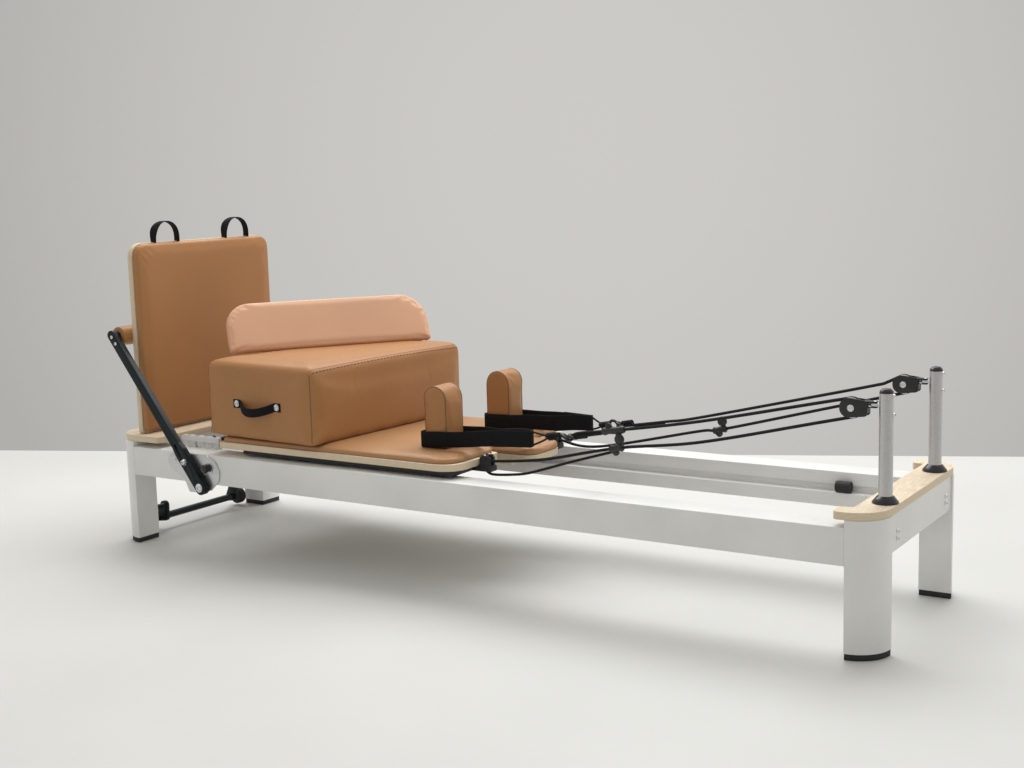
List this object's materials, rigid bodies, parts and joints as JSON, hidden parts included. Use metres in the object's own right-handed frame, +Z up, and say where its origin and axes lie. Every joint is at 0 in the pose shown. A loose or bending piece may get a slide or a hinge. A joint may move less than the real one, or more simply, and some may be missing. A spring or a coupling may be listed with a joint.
{
  "type": "pilates reformer",
  "caption": "Pilates reformer: padded sprung carriage on rails, rope pulleys on posts, folding footbar, jump board, sitting box and leaning platform pad.",
  "frame": {"origin": "middle of the whole footprint at floor level; the turned sitting box reaches out on the far side, so the reformer's own centre line is at y = -0.013 m", "axes": "+X from the footbar end to the pulley end, +Z up, -Y the near side with the footbar's locking plunger"},
  "size_m": [2.426, 0.7165, 0.9815],
  "materials": {
    "white_coat": "satin white powder coat",
    "birch_ply": "clear-lacquered birch plywood with layered edges",
    "tan_leather": "smooth tan faux leather over foam",
    "pale_tan_leather": "smooth pale tan faux leather over foam",
    "black_rubber": "matt black rubber",
    "black_steel": "matt blue-black powder coat",
    "black_aluminium": "matt black powder coat",
    "silver_steel": "satin steel",
    "silver_aluminium": "turned bare aluminium",
    "spring_steel": "drawn spring wire",
    "black_webbing": "woven black webbing",
    "black_rope": "braided black rope",
    "wheel_plastic": "dark urethane tyre"
  },
  "bodies": {
    "frame": {"leg_head_near": "white_coat", "leg_head_far": "white_coat", "leg_foot_near": "white_coat", "leg_foot_far": "white_coat", "rubber_foot_head_near": "black_rubber", "rubber_foot_head_far": "black_rubber", "rubber_foot_foot_near": "black_rubber", "rubber_foot_foot_far": "black_rubber", "rail_near": "white_coat", "rail_far": "white_coat", "head_crossbeam": "white_coat", "foot_crossbeam": "white_coat", "head_plate": "birch_ply", "foot_plate": "birch_ply", "post_near": "white_coat", "post_far": "white_coat", "footbar_bracket_near": "silver_steel", "footbar_bracket_far": "silver_steel", "gear_rack_near": "white_coat", "gear_rack_far": "white_coat", "bumper_near": "black_rubber", "bumper_far": "black_rubber", "spring_bar": "black_steel", "spring_1": "spring_steel", "spring_2": "spring_steel", "spring_3": "spring_steel", "spring_4": "spring_steel", "rope_near": "black_rope", "rope_far": "black_rope"},
    "carriage": {"carriage_board": "birch_ply", "carriage_pad": "pale_tan_leather", "carriage_chassis": "black_aluminium", "hand_strap_near": "black_webbing", "hand_strap_far": "black_webbing"},
    "wheel_head_near": {"carriage_wheel_head_near": "wheel_plastic"},
    "wheel_head_far": {"carriage_wheel_head_far": "wheel_plastic"},
    "wheel_foot_near": {"carriage_wheel_foot_near": "wheel_plastic"},
    "wheel_foot_far": {"carriage_wheel_foot_far": "wheel_plastic"},
    "headrest": {"headrest": "pale_tan_leather"},
    "rest_near": {"shoulder_rest_near": "pale_tan_leather"},
    "rest_far": {"shoulder_rest_far": "pale_tan_leather"},
    "box": {"sitting_box": "tan_leather", "box_handle": "black_webbing"},
    "platform_pad": {"platform_pad": "pale_tan_leather"},
    "footbar": {"footbar_arm_near": "black_steel", "footbar_arm_far": "black_steel", "footbar_tube": "black_steel", "footbar_grip": "tan_leather"},
    "plunger": {"footbar_plunger": "silver_steel"},
    "jump_board": {"jump_board": "birch_ply", "jump_board_pad": "tan_leather", "jump_board_loop_near": "black_webbing", "jump_board_loop_far": "black_webbing"},
    "pulley_near": {"pulley_block_near": "black_aluminium"},
    "pulley_far": {"pulley_block_far": "black_aluminium"},
    "sheave_near": {"sheave_near": "silver_aluminium"},
    "sheave_far": {"sheave_far": "silver_aluminium"},
    "transport": {"transport_bar": "black_steel"},
    "roller_near": {"transport_roller_near": "black_rubber"},
    "roller_far": {"transport_roller_far": "black_rubber"}
  },
  "joints": [
    {"name": "carriage_slide", "type": "slide", "parent": "frame", "child": "carriage", "axis": [1, 0, 0], "range_m": [0, 0.93], "stiffness_N_per_m": 800, "springref_m": -0.05, "deforming": ["spring_1", "spring_2", "spring_3", "spring_4", "hand_strap_near", "hand_strap_far", "rope_near", "rope_far"]},
    {"name": "wheel_foot_near_spin", "type": "hinge", "parent": "carriage", "child": "wheel_foot_near", "pos_m": [-0.6, -0.238, 0.272], "axis": [0, 1, 0], "continuous": true},
    {"name": "wheel_foot_far_spin", "type": "hinge", "parent": "carriage", "child": "wheel_foot_far", "pos_m": [-0.6, 0.212, 0.272], "axis": [0, 1, 0], "continuous": true},
    {"name": "wheel_head_near_spin", "type": "hinge", "parent": "carriage", "child": "wheel_head_near", "pos_m": [-0.048, -0.238, 0.272], "axis": [0, 1, 0], "continuous": true},
    {"name": "wheel_head_far_spin", "type": "hinge", "parent": "carriage", "child": "wheel_head_far", "pos_m": [-0.048, 0.212, 0.272], "axis": [0, 1, 0], "continuous": true},
    {"name": "headrest_tilt", "type": "hinge", "parent": "carriage", "child": "headrest", "pos_m": [-0.055, -0.013, 0.358], "axis": [0, -1, 0], "range_deg": [0, 35]},
    {"name": "rest_near_lift", "type": "slide", "parent": "carriage", "child": "rest_near", "axis": [0, 0, 1], "range_m": [0, 0.2]},
    {"name": "rest_far_lift", "type": "slide", "parent": "carriage", "child": "rest_far", "axis": [0, 0, 1], "range_m": [0, 0.2]},
    {"name": "box_lift", "type": "slide", "parent": "carriage", "child": "box", "axis": [0, 0, 1], "range_m": [0, 0.3]},
    {"name": "platform_pad_lift", "type": "slide", "parent": "box", "child": "platform_pad", "axis": [0, 0, 1], "range_m": [0, 0.25]},
    {"name": "footbar_fold", "type": "hinge", "parent": "frame", "child": "footbar", "pos_m": [-0.822, -0.013, 0.206], "axis": [0, -1, 0], "range_deg": [0, 50]},
    {"name": "plunger_slide", "type": "slide", "parent": "footbar", "child": "plunger", "axis": [-0.6088, 0, 0.7934], "range_m": [0, 0.05], "stiffness_N_per_m": 400, "springref_m": -0.005},
    {"name": "jump_board_lift", "type": "slide", "parent": "frame", "child": "jump_board", "axis": [0, 0, 1], "range_m": [0, 0.12]},
    {"name": "pulley_near_swivel", "type": "hinge", "parent": "frame", "child": "pulley_near", "pos_m": [1.14, -0.203, 0.558], "axis": [0, 0, 1], "range_deg": [-3, 3]},
    {"name": "sheave_near_spin", "type": "hinge", "parent": "pulley_near", "child": "sheave_near", "pos_m": [1.09, -0.203, 0.548], "axis": [0, 1, 0], "continuous": true},
    {"name": "pulley_far_swivel", "type": "hinge", "parent": "frame", "child": "pulley_far", "pos_m": [1.14, 0.177, 0.558], "axis": [0, 0, 1], "range_deg": [-3, 3]},
    {"name": "sheave_far_spin", "type": "hinge", "parent": "pulley_far", "child": "sheave_far", "pos_m": [1.09, 0.177, 0.548], "axis": [0, 1, 0], "continuous": true},
    {"name": "transport_tilt", "type": "hinge", "parent": "frame", "child": "transport", "pos_m": [-1.17, -0.013, 0.078], "axis": [0, -1, 0], "range_deg": [0, 16], "stiffness_Nm_per_rad": 8, "springref_deg": -8.59},
    {"name": "roller_near_spin", "type": "hinge", "parent": "transport", "child": "roller_near", "pos_m": [-1.2, -0.215, 0.033], "axis": [0, 1, 0], "continuous": true},
    {"name": "roller_far_spin", "type": "hinge", "parent": "transport", "child": "roller_far", "pos_m": [-1.2, 0.189, 0.033], "axis": [0, 1, 0], "continuous": true}
  ],
  "couplings": [
    {"joint": "wheel_head_near_spin", "follows": "carriage_slide", "rad_per_m": 46.083},
    {"joint": "wheel_head_far_spin", "follows": "carriage_slide", "rad_per_m": 46.083},
    {"joint": "wheel_foot_near_spin", "follows": "carriage_slide", "rad_per_m": 46.083},
    {"joint": "wheel_foot_far_spin", "follows": "carriage_slide", "rad_per_m": 46.083}
  ]
}
